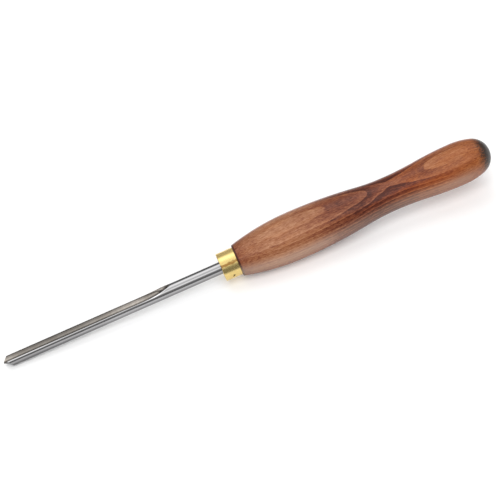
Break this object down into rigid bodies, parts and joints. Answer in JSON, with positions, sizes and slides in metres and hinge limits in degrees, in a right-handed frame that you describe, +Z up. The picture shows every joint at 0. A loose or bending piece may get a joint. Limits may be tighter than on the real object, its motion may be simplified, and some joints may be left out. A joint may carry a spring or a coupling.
{
  "type": "detail gouge",
  "caption": "Woodturning detail gouge: round steel bar with a milled flute and ground fingernail nose, in a turned beech handle with a brass ferrule, lying on its side.",
  "frame": {"origin": "on the bench, under the middle of the lying tool's box", "axes": "+X from the edge towards the butt, +Z up, +Y the way the flute leans"},
  "size_m": [0.4014, 0.0372, 0.0436],
  "materials": {
    "blade_steel": "ground high-speed steel, polished along the bar",
    "ferrule_brass": "turned brass, satin, fine turning lines",
    "handle_wood": "beech stained reddish brown, satin lacquer, darkened butt"
  },
  "bodies": {
    "root": {"blade": "blade_steel", "ferrule": "ferrule_brass", "handle": "handle_wood"}
  },
  "joints": []
}
